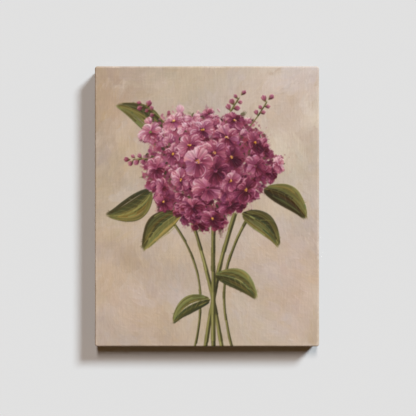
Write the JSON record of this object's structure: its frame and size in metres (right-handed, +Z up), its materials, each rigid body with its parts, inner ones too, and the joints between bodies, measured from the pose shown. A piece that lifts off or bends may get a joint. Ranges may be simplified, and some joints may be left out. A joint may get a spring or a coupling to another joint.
{
  "type": "stretched canvas painting",
  "caption": "Small upright painting on a stretched canvas: mitred wooden bars with corner keys, stapled canvas, sawtooth hanger and rear bumpers.",
  "frame": {"origin": "the point on the wall behind the sawtooth hanger's middle notch, where the wall's nail goes in", "axes": "+Z up along the picture's height, +Y into the wall (the picture faces -Y), +X to the right seen from the front"},
  "size_m": [0.2032, 0.0214, 0.254],
  "materials": {
    "painted_canvas": "oil paint on primed cotton canvas, satin, with the weave showing",
    "pine": "planed, bare",
    "key_wood": "sawn, bare",
    "zinced_steel": "galvanised, dull",
    "brassed_steel": "brass-plated, satin",
    "rubber": "matte"
  },
  "bodies": {
    "root": {"bumper_left": "rubber", "bumper_right": "rubber", "canvas": "painted_canvas", "hanger_nail_left": "brassed_steel", "hanger_nail_right": "brassed_steel", "key_bottom_left_flat": "key_wood", "key_bottom_left_upright": "key_wood", "key_bottom_right_flat": "key_wood", "key_bottom_right_upright": "key_wood", "key_top_left_flat": "key_wood", "key_top_left_upright": "key_wood", "key_top_right_flat": "key_wood", "key_top_right_upright": "key_wood", "sawtooth_hanger": "brassed_steel", "staple_bottom_1": "zinced_steel", "staple_bottom_2": "zinced_steel", "staple_bottom_3": "zinced_steel", "staple_bottom_4": "zinced_steel", "staple_bottom_5": "zinced_steel", "staple_corner_bottom_left": "zinced_steel", "staple_corner_bottom_right": "zinced_steel", "staple_corner_top_left": "zinced_steel", "staple_corner_top_right": "zinced_steel", "staple_left_1": "zinced_steel", "staple_left_2": "zinced_steel", "staple_left_3": "zinced_steel", "staple_left_4": "zinced_steel", "staple_left_5": "zinced_steel", "staple_left_6": "zinced_steel", "staple_left_7": "zinced_steel", "staple_right_1": "zinced_steel", "staple_right_2": "zinced_steel", "staple_right_3": "zinced_steel", "staple_right_4": "zinced_steel", "staple_right_5": "zinced_steel", "staple_right_6": "zinced_steel", "staple_right_7": "zinced_steel", "staple_top_1": "zinced_steel", "staple_top_2": "zinced_steel", "staple_top_3": "zinced_steel", "staple_top_4": "zinced_steel", "staple_top_5": "zinced_steel", "stretcher_bar_bottom": "pine", "stretcher_bar_left": "pine", "stretcher_bar_right": "pine", "stretcher_bar_top": "pine"}
  },
  "joints": []
}
